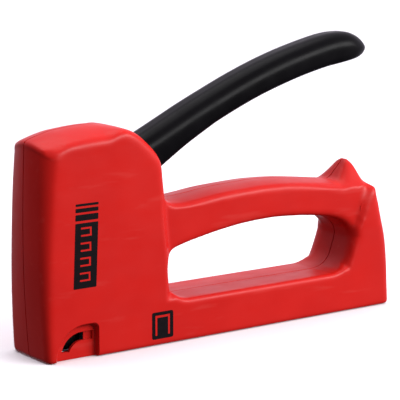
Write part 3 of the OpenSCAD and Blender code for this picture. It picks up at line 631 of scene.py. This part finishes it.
def housingHalf(name, node, outer, s):
    h = housing
    trackLow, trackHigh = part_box("magazine_channel")
    trackW = trackHigh.y / mm + h["trackFit"]
    trackTop = trackHigh.z / mm + h["trackFit"]
    trackFront = trackLow.x / mm
    bayLow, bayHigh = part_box("magazine_end_cap")
    bayFront = bayLow.x / mm - h["bayFit"]
    bayW = bayHigh.y / mm + h["bayFit"]
    bayTop = bayHigh.z / mm + h["bayFit"]
    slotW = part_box("handle_grip")[1].y / mm + h["wayOutFit"]
    inner = h["halfWidth"] - h["wall"]
    pinX, _, pinZ = sum(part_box("handle_pivot_pin"), Vector()) / 2 / mm
    # way out of the handle: under the roof in front, open to the rear, lower where the lever swings down
    sill = h["gripTop"] + 0.2
    wayOut = [(pinX - 5, sill - 4.5), (pinX - 5, pinZ + 30.6), (pinX + 2, pinZ + 31),
              (pinX + 3.4, pinZ + 32.4), (pinX + 3.4, top + 4), (headEnd + 4, top + 4),
              (headEnd + 4, sill), (pinX + 15.5, sill), (pinX + 9, sill - 4.5)]

    def side(a, b):     # two distances from the middle, put on this half's side
        return sorted((a * s, b * s))

    cutters = [
        block(nose - clear, rear + clear, *side(0, -20), -clear, top + clear), *partingCutters(),
        headHollow(s), *gripHollows(s), *recessCutters(s),
        block(nose + 2, rear + 2, *side(-1, trackW), -1, trackTop),
        block(nose + 2, trackFront, *side(-1, 7.5), -1, trackTop + 4),
        block(bayFront, rear + 2, *side(-4, bayW), -4, bayTop, 0.8),
        prism([wayOut], *side(-4, slotW)),
    ]
    into = 0.5      # how far ribs and bosses run into the wall
    bossRadius = screws["bossRadius"]
    additions = [across(x, z, bossRadius, *side(0.05, w - h["wall"] + 0.6)) for x, z, w in screws["spots"]]
    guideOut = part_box("plunger_guide")[1].y / mm
    additions += [block(x, x + 2, *side(guideOut, inner + into), 26, 58) for x in (nose + 6.4, nose + 12.4)]
    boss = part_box("pivot_washers")[1].y / mm + 0.1
    additions += [across(pinX, pinZ, 6.4, *side(boss, inner + into))]
    mesh = carved(outer.copy(), cutters, additions)
    holes = [across(pinX, pinZ, 3.05, *side(2, inner))]
    for x, z, w in screws["spots"]:
        if s > 0:
            holes += [across(x, z, screws["holeRadius"], -1, w + 1),
                      across(x, z, screws["headHole"], w - screws["seat"], w + 1)]
        else:
            holes += [across(x, z, screws["threadHole"], -screws["end"] - 0.6, 1)]
    mesh = carved(mesh, holes)
    return piece(name, mesh, redMaterial, "root", "red_plastic", node)


outer = outerHousing()
print("outer form made", len(outer.polygons), "faces")
housingHalf("left_shell", "left_housing", outer, -1)
housingHalf("right_shell", "right_housing", outer, 1)


handle = {
    "halfWidth": 8.2, "crownEdge": 6.6, "tipEdge": 3.4, "footEdge": 1.7, "seatDepth": 2.0,
    "tipStart": 102.0, "tipLength": 20.5, "voxel": 0.5,
}
pivot = sum(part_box("handle_pivot_pin"), Vector()) / 2 / mm


def fromPivot(points, edge):
    return [(pivot.x + x, pivot.z + z, edge) for x, z in points]


def handleWidth(x, z):
    along = np.clip((x - pivot.x - handle["tipStart"]) / handle["tipLength"], 0, 1)
    return handle["halfWidth"] * np.sqrt(1 - 0.9 * along ** 2.4)


def makeHandle():
    h = handle
    crown = smoothRun(fromPivot([
        (6, 13.6), (2, 16), (-2, 20), (-3.6, 23), (-2, 26.4), (2, 29.4), (6.5, 31.6), (11, 33.4),
        (22, 38.6), (30.4, 42.6), (41.8, 47.6), (53.2, 52.4), (65, 56.8), (77, 60.6), (89, 63.7),
        (99, 65.8), (106.4, 66.4), (111.5, 65.9), (116, 64.2), (119.2, 61.6), (120.6, 59.4)], h["crownEdge"]))
    tip = smoothRun([crown[-1], *fromPivot([(120.4, 58.2), (119.0, 57.3)], h["tipEdge"]),
                     *fromPivot([(116.6, 56.6)], h["tipEdge"] - 1)])
    foot = smoothRun([tip[-1], *fromPivot([
        (112, 55.5), (104, 54.2), (95, 52.8), (80, 49.2), (61.9, 43.5), (44.7, 36.5), (36.1, 32.2),
        (27.7, 27.6), (19.5, 22.5), (11, 17), (6, 13.6)], h["footEdge"])])
    mesh, _ = moulded([crown, tip, foot], [], h["halfWidth"], h["voxel"], handleWidth)
    mesh = relaxed(mesh, 3)
    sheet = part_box("lever_arm")[1].y / mm
    # where the two cheeks of the lever lie in the moulding
    band = fromPivot([(-5, 8), (-3, 15), (0.6, 22), (6, 27), (14, 30.8), (26, 36.6), (38, 42.2),
                      (50, 46.8), (51.4, 44.2), (40, 39), (28, 33), (17, 26.6), (11, 22), (7.4, 15),
                      (5.4, 8)], 0)
    deep = h["seatDepth"]
    seats = [prism([band], -sheet, -sheet + deep), prism([band], sheet - deep, sheet)]
    return piece("handle_moulding", carved(mesh, seats), gripMaterial, "lever", "black_grip", "handle_grip")


makeHandle()


springs = {
    # mean radius, wire radius, turns, and closed turns at each end
    "main_spring": (6.5, 1.0, 8.5, 1), "handle_return_spring": (2.9, 0.4, 10, 1),
    "pusher_spring": (2.05, 0.3, 44, 2), "pawl_spring": (2.25, 0.25, 3, 0.5),
}
squashed = {"handle_return_spring": 0.84, "pusher_spring": 0.43}     # share of the length left at the far end


# a wire wound round an axis, from its start
def coil(name, node, body, start, axis, length, joint=None, keep=0.5):
    radius, wire, turns, closed = springs[node]
    steps = 20      # points in a turn
    curve = bpy.data.curves.new(name, "CURVE")
    curve.dimensions = "3D"
    curve.bevel_depth = wire
    curve.bevel_resolution = 3
    curve.use_fill_caps = True
    line = curve.splines.new("POLY")
    count = int(turns * steps)
    line.points.add(count)
    run = length - 2 * wire
    ends = closed * 2 * wire
    for i, point in enumerate(line.points):
        turn = i / steps
        if turn < closed:
            rise = turn * 2 * wire
        elif turn > turns - closed:
            rise = run - (turns - turn) * 2 * wire
        else:
            rise = ends + (run - 2 * ends) * (turn - closed) / (turns - 2 * closed)
        a = turn * 2 * math.pi
        point.co = (radius * math.cos(a), radius * math.sin(a), wire + rise, 1)
    o = added(name, curve)
    bpy.context.view_layer.update()
    mesh = bpy.data.meshes.new_from_object(o.evaluated_get(bpy.context.evaluated_depsgraph_get()))
    bpy.data.objects.remove(o)
    turned = Vector((0, 0, 1)).rotation_difference(Vector(axis)).to_matrix().to_4x4()
    mesh.transform(Matrix.Translation(start) @ turned)
    made = piece(name, mesh, steel["springSteel"], body, "spring_steel", node, sharp=50)
    if joint:
        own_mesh(made)
    return made


def boxOf(node):        # low and high corner and middle, in millimetres
    low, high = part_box(node)
    return low / mm, high / mm, (low + high) / 2 / mm


def makeSprings():
    low, high, middle = boxOf("main_spring")
    lift = next(j for j in frame["joints"] if j["name"] == "striker_lift")["range_m"][1] / mm
    length = high.z - low.z
    coil("main_spring_coil", "main_spring", "root", (middle.x, 0, low.z), (0, 0, 1), length,
         "striker_lift", 1 - lift / length)
    low, high, middle = boxOf("handle_return_spring")
    coil("return_spring_coil", "handle_return_spring", "root", (middle.x, 0, low.z), (0, 0, 1),
         high.z - low.z, "handle_pivot", squashed["handle_return_spring"])
    low, high, middle = boxOf("pusher_spring")
    coil("pusher_spring_coil", "pusher_spring", "magazine", (low.x, 0, middle.z), (1, 0, 0), high.x - low.x,
         "pusher_slide", squashed["pusher_spring"])
    low, high, middle = boxOf("pawl_spring")
    coil("pawl_spring_coil", "pawl_spring", "lever", (middle.x, high.y, middle.z), (0, -1, 0), high.y - low.y)


makeSprings()


# half the section of a screw that points to -Y: distances from its axis, and y
def screwProfile(spec, seat):
    r = spec["headRadius"]
    shank = spec["shankRadius"]
    core = shank * spec["core"]
    headTop = seat + spec["headHeight"]
    profile = [(0, headTop), (r * 0.45, headTop - 0.03), (r * 0.8, headTop - 0.3), (r, headTop - 0.85),
               (r, seat + 0.1), (r - 0.15, seat), (shank, seat), (shank - 0.05, seat - 1)]
    y = seat - 2
    while y > 1.2 - spec["end"]:
        profile += [(core, y), (core, y - 0.2), (shank, y - 0.45), (core, y - 0.7)]
        y -= spec["threadPitch"]
    return profile + [(core, y), (0.15, -spec["end"]), (0, -spec["end"])]


def makeScrews():
    spec = screws
    long, wide = spec["crossLong"], spec["crossWide"]
    whole = bmesh.new()
    for x, z, w in spec["spots"]:
        seat = w - spec["seat"]
        headTop = seat + spec["headHeight"]
        bm = bmesh.new()
        verts = [bm.verts.new((a, b, 0)) for a, b in screwProfile(spec, seat)]
        edges = [bm.edges.new(pair) for pair in zip(verts, verts[1:])]
        bmesh.ops.spin(bm, geom=verts + edges, cent=(0, 0, 0), axis=(0, 1, 0), angle=2 * math.pi, steps=32,
                       use_merge=True)
        bmesh.ops.remove_doubles(bm, verts=bm.verts[:], dist=1e-4)
        bmesh.ops.recalc_face_normals(bm, faces=bm.faces[:])
        bmesh.ops.translate(bm, vec=(x, 0, z), verts=bm.verts[:])
        slots = []
        for turn in (20 + x, 110 + x):      # each cross stands at its own angle
            cross = block(-long, long, headTop - spec["crossDeep"], headTop + 1, -wide, wide)
            upright = [e for e in cross.edges if abs(e.verts[0].co.y - e.verts[1].co.y) > 1]
            rounded(cross, upright, 0.1, 1)
            bmesh.ops.rotate(cross, matrix=Matrix.Rotation(math.radians(turn), 3, "Y"), verts=cross.verts[:])
            bmesh.ops.translate(cross, vec=(x, 0, z), verts=cross.verts[:])
            slots.append(cross)
        cut = carved(meshOf(bm), slots)
        whole.from_mesh(cut)
        bpy.data.meshes.remove(cut)
    return piece("case_screws", meshOf(whole), steel["zincSteel"], "root", "zinc_steel", "housing_screws",
                 sharp=35)


makeScrews()


endCap = {
    "edge": 0.45, "ridges": 5, "ridgeStep": 1.7, "ridgeFromTop": 2.2, "grooveRadius": 0.62, "grooveHalf": 5.6,
    "rodHole": 1.42, "pinHole": 0.62, "leafHalf": 3.0, "wallBehindLeaf": 3.3,
}


def makeEndCap():
    spec = endCap
    low, high, _ = boxOf("magazine_end_cap")
    back = high.x
    body = prism([[(low.x, low.z), (low.x, high.z), (back - 1.2, high.z), (back, high.z - 1.6), (back, 5.2),
                   (back - 1.6, 3.8), (back - 1.6, 1.9), (back, 0.7), (back - 0.3, low.z)]], low.y, high.y)
    edges = []
    for e in body.edges:    # all but those at the front, where the rail goes in
        a, b = (v.co for v in e.verts)
        crosswise = abs(a.y - b.y) > 1 and a.x > low.x + 1
        onSide = abs(a.y - b.y) < 1e-3 and min(a.x, b.x) > low.x + 1
        if crosswise or onSide:
            edges.append(e)
    rounded(body, edges, spec["edge"], 3)
    grooves = []
    for k in range(spec["ridges"]):     # finger grip
        z = high.z - spec["ridgeFromTop"] - k * spec["ridgeStep"]
        grooves.append(across(back + 0.25, z, spec["grooveRadius"], -spec["grooveHalf"], spec["grooveHalf"],
                              segments=20))
    railLow, railHigh, _ = boxOf("magazine_rail")
    seat = block(low.x - 1, railHigh.x + 0.05, railLow.y, railHigh.y, railLow.z, railHigh.z)
    pin = boxOf("end_cap_pin")[2]
    hole = across(pin.x, pin.z, spec["pinHole"], low.y - 1, high.y + 1, segments=24)
    leaf = block(low.x - 1, back - spec["wallBehindLeaf"], -spec["leafHalf"], spec["leafHalf"],
                 high.z - 1, high.z + 1)
    _, rod, rodMiddle = boxOf("guide_rod")
    rodHole = bmesh.new()
    bmesh.ops.create_cone(rodHole, cap_ends=True, segments=32, radius1=spec["rodHole"],
                          radius2=spec["rodHole"], depth=rod.x - low.x + 2)
    bmesh.ops.rotate(rodHole, matrix=Matrix.Rotation(math.pi / 2, 3, "Y"), verts=rodHole.verts[:])
    bmesh.ops.translate(rodHole, vec=((rod.x + low.x - 2) / 2, 0, rodMiddle.z), verts=rodHole.verts[:])
    mesh = carved(meshOf(body), [seat, *grooves, leaf, rodHole, hole])
    return piece("end_cap_moulding", mesh, nylonMaterial, "magazine", "black_nylon", "magazine_end_cap")


makeEndCap()


prints = {
    "thickness": 0.05, "lift": 0.004, "lean": 0.045, "corner": 0.3,
    "bar": (nose + 11.24, nose + 21.04, 26.8, 51.2),        # left, right, foot and top
    "staples": 4, "stapleFoot": 29.4, "stapleStep": 5.6, "stapleIn": 2.6, "stapleSize": (4.6, 3.4),
    "stapleWire": (0.8, 0.7),
    "stripes": ((52.1, 2.3), (55.2, 1.5), (57.5, 0.9)),     # foot and height
    "sign": (headEnd - 7.96, headEnd + 1.74, 2.5, 13.0), "signCorner": 0.8,
    "signStaple": (headEnd - 6.46, headEnd + 0.24, 3.9, 11.7), "signWire": 0.9,
}


def decal(name, groups):        # thin ink on the left side; each group is an outline and its holes
    side = -housing["halfWidth"] - prints["lift"]
    bm = bmesh.new()
    for group in groups:
        part = prism(group, side - prints["thickness"], side)
        part.normal_update()
        made = meshOf(part)
        bm.from_mesh(made)
        bpy.data.meshes.remove(made)
    return piece(name, meshOf(bm), inkMaterial, "root", "black_nylon")


def roundedBox(x0, x1, z0, z1, r, lean=0.0):
    corners = [(x1 - r, z1 - r, 90, 0), (x1 - r, z0 + r, 0, -90), (x0 + r, z0 + r, 270, 180),
               (x0 + r, z1 - r, 180, 90)]
    points = [p for x, z, a, b in corners for p in arcRun(x, z, r, a, b, steps=4)]
    return [(x + lean * (z - z0), z) for x, z, _ in points]


def makePrints():
    spec = prints
    lean = spec["lean"]
    corner = spec["corner"]
    left, right, foot, high = spec["bar"]
    bar = [roundedBox(left, right, foot, high, corner, lean)]
    long, tall = spec["stapleSize"]
    crown, leg = spec["stapleWire"]
    for k in range(spec["staples"]):        # a row of plain staple outlines left clear in the bar
        z = spec["stapleFoot"] + k * spec["stapleStep"]
        x = left + spec["stapleIn"] + lean * (z - foot)
        inner = x + long - crown
        bar.append([(x, z), (x + long, z), (x + long, z + tall), (x, z + tall), (x, z + tall - leg),
                    (inner, z + tall - leg), (inner, z + leg), (x, z + leg)])
    stripes = []
    for k, (z, height) in enumerate(spec["stripes"]):
        shift = 1.1 + 0.1 * k
        stripes.append([roundedBox(left + shift, right + shift, z, z + height, corner, lean)])
    decal("side_print", [bar, *stripes])
    x0, x1, z0, z1 = spec["signStaple"]
    w = spec["signWire"]
    staple = [(x0, z1), (x1, z1), (x1, z0), (x1 - w, z0), (x1 - w, z1 - w), (x0 + w, z1 - w), (x0 + w, z0),
              (x0, z0)]
    decal("staple_symbol", [[roundedBox(*spec["sign"], spec["signCorner"]), staple]])


makePrints()


finishes = {
    "nose_plate": "hardSteel", "lift_pawl": "hardSteel", "plunger": "hardSteel", "driver_blade": "hardSteel",
    "plunger_guide": "pressedSteel", "magazine_channel": "pressedSteel", "lever_arm": "pressedSteel",
    "magazine_rail": "pressedSteel", "handle_pivot_pin": "zincSteel", "pivot_washers": "zincSteel",
    "pawl_pin": "zincSteel", "driver_rivets": "zincSteel", "guide_rod": "zincSteel",
    "end_cap_pin": "zincSteel", "rod_clip": "springSteel", "magazine_detent": "springSteel",
    # the pusher's black is partly painted shade: it fills the sight slot with dark
    "staple_pusher": "blackSteelPaintedShade",
}
broken = {      # width of the broken edges, in millimetres
    "nose_plate": 0.2, "plunger_guide": 0.15, "magazine_channel": 0.15, "lever_arm": 0.25, "lift_pawl": 0.3,
    "plunger": 0.3, "magazine_rail": 0.12, "staple_pusher": 0.1, "spring_cap": 0.3, "rubber_bumper": 0.5,
}


def finishParts():      # the CAD parts that stay get their materials and broken edges
    materials = {node: steel[name] for node, name in finishes.items()}
    materials["spring_cap"] = nylonMaterial
    materials["rubber_bumper"] = rubberMaterial
    for node, o in frame["nodes"].items():
        if o.hide_render:
            continue
        for slot in o.material_slots:
            slot.material = materials[node]
        if not o.material_slots:
            o.data.materials.append(materials[node])
        if node in broken:
            weld = o.modifiers.new("weld", "WELD")
            weld.merge_threshold = 0.00001
            edge = o.modifiers.new("edge", "BEVEL")
            edge.width = broken[node] * mm
            edge.segments = 2
            edge.limit_method = "ANGLE"
            edge.angle_limit = math.radians(40)
    print("finishes set on", len(materials), "CAD parts")


finishParts()


studio = {
    "floor": rgb(0.93, 0.93, 0.93), "floorShade": rgb(0.88, 0.88, 0.88), "skyColour": rgb(1.0, 0.93, 1.07),
    "bright": 0.90, "dim": 0.12, "dimSide": (-0.56, -0.27, -0.78), "fade": (-0.45, 0.30),
    "overhead": 1.4, "overheadSoft": 50, "overheadLean": -12,       # strength, and angles in degrees
    "key": 14, "keyPlace": (0.55, -0.85, 0.50), "keyAim": (0, 0, 0.05), "keySize": (1.0, 0.4),
    "cameraPlace": (-0.3972, -0.5538, 0.1776), "cameraAim": (-0.00385, 0.0, 0.051), "lens": 159.3,
}


def aimed(o, target):
    o.rotation_euler = (Vector(target) - o.location).to_track_quat("-Z", "Y").to_euler()


def makeWorld():        # a white room that is dim on the side the nose points to
    world = bpy.data.worlds.new("studio")
    bpy.context.scene.world = world
    world.use_nodes = True
    nodes, links = world.node_tree.nodes, world.node_tree.links
    place = nodes.new("ShaderNodeTexCoord")
    facing = nodes.new("ShaderNodeVectorMath")
    facing.operation = "DOT_PRODUCT"
    facing.inputs[1].default_value = Vector(studio["dimSide"]).normalized()
    fade = nodes.new("ShaderNodeMapRange")
    fade.interpolation_type = "SMOOTHSTEP"
    for socket, value in zip((1, 2, 3, 4), (*studio["fade"], studio["bright"], studio["dim"])):
        fade.inputs[socket].default_value = value
    links.new(place.outputs["Generated"], facing.inputs[0])
    links.new(facing.outputs["Value"], fade.inputs[0])
    links.new(fade.outputs[0], nodes["Background"].inputs["Strength"])
    nodes["Background"].inputs["Color"].default_value = studio["skyColour"]


def makeFloor():
    bm = bmesh.new()
    bmesh.ops.create_grid(bm, x_segments=2, y_segments=2, size=3)
    floor = added("floor", meshOf(bm, "floor"))
    net = Net("paleFloor")
    cloud = net.spread(net.noise(300, 3), 0.3, 0.7)
    net.set(Base_Color=net.mix(cloud, studio["floorShade"], studio["floor"]), Roughness=0.9)
    floor.data.materials.append(net.material)
    floor.location.z = -0.0002
    floor.visible_diffuse = False       # it shows and takes shadows, but throws no light back up
    floor.visible_glossy = False


def makeLights():
    lamp = bpy.data.lights.new("key", "AREA")
    lamp.shape = "RECTANGLE"
    lamp.size, lamp.size_y = studio["keySize"]
    lamp.energy = studio["key"]
    key = added("key", lamp)
    key.location = studio["keyPlace"]
    aimed(key, studio["keyAim"])
    sky = bpy.data.lights.new("overhead", "SUN")
    sky.energy = studio["overhead"]
    sky.angle = math.radians(studio["overheadSoft"])
    added("overhead", sky).rotation_euler = (math.radians(studio["overheadLean"]), 0, 0)


def makeCamera():
    camera = bpy.data.cameras.new("camera")
    camera.lens = studio["lens"]
    camera.sensor_width = 36
    camera.clip_start, camera.clip_end = 0.01, 20
    o = added("camera", camera)
    o.location = studio["cameraPlace"]
    aimed(o, studio["cameraAim"])
    bpy.context.scene.camera = o
    bpy.context.scene.view_settings.view_transform = "Standard"


makeWorld()
makeFloor()
makeLights()
makeCamera()
print("studio made")
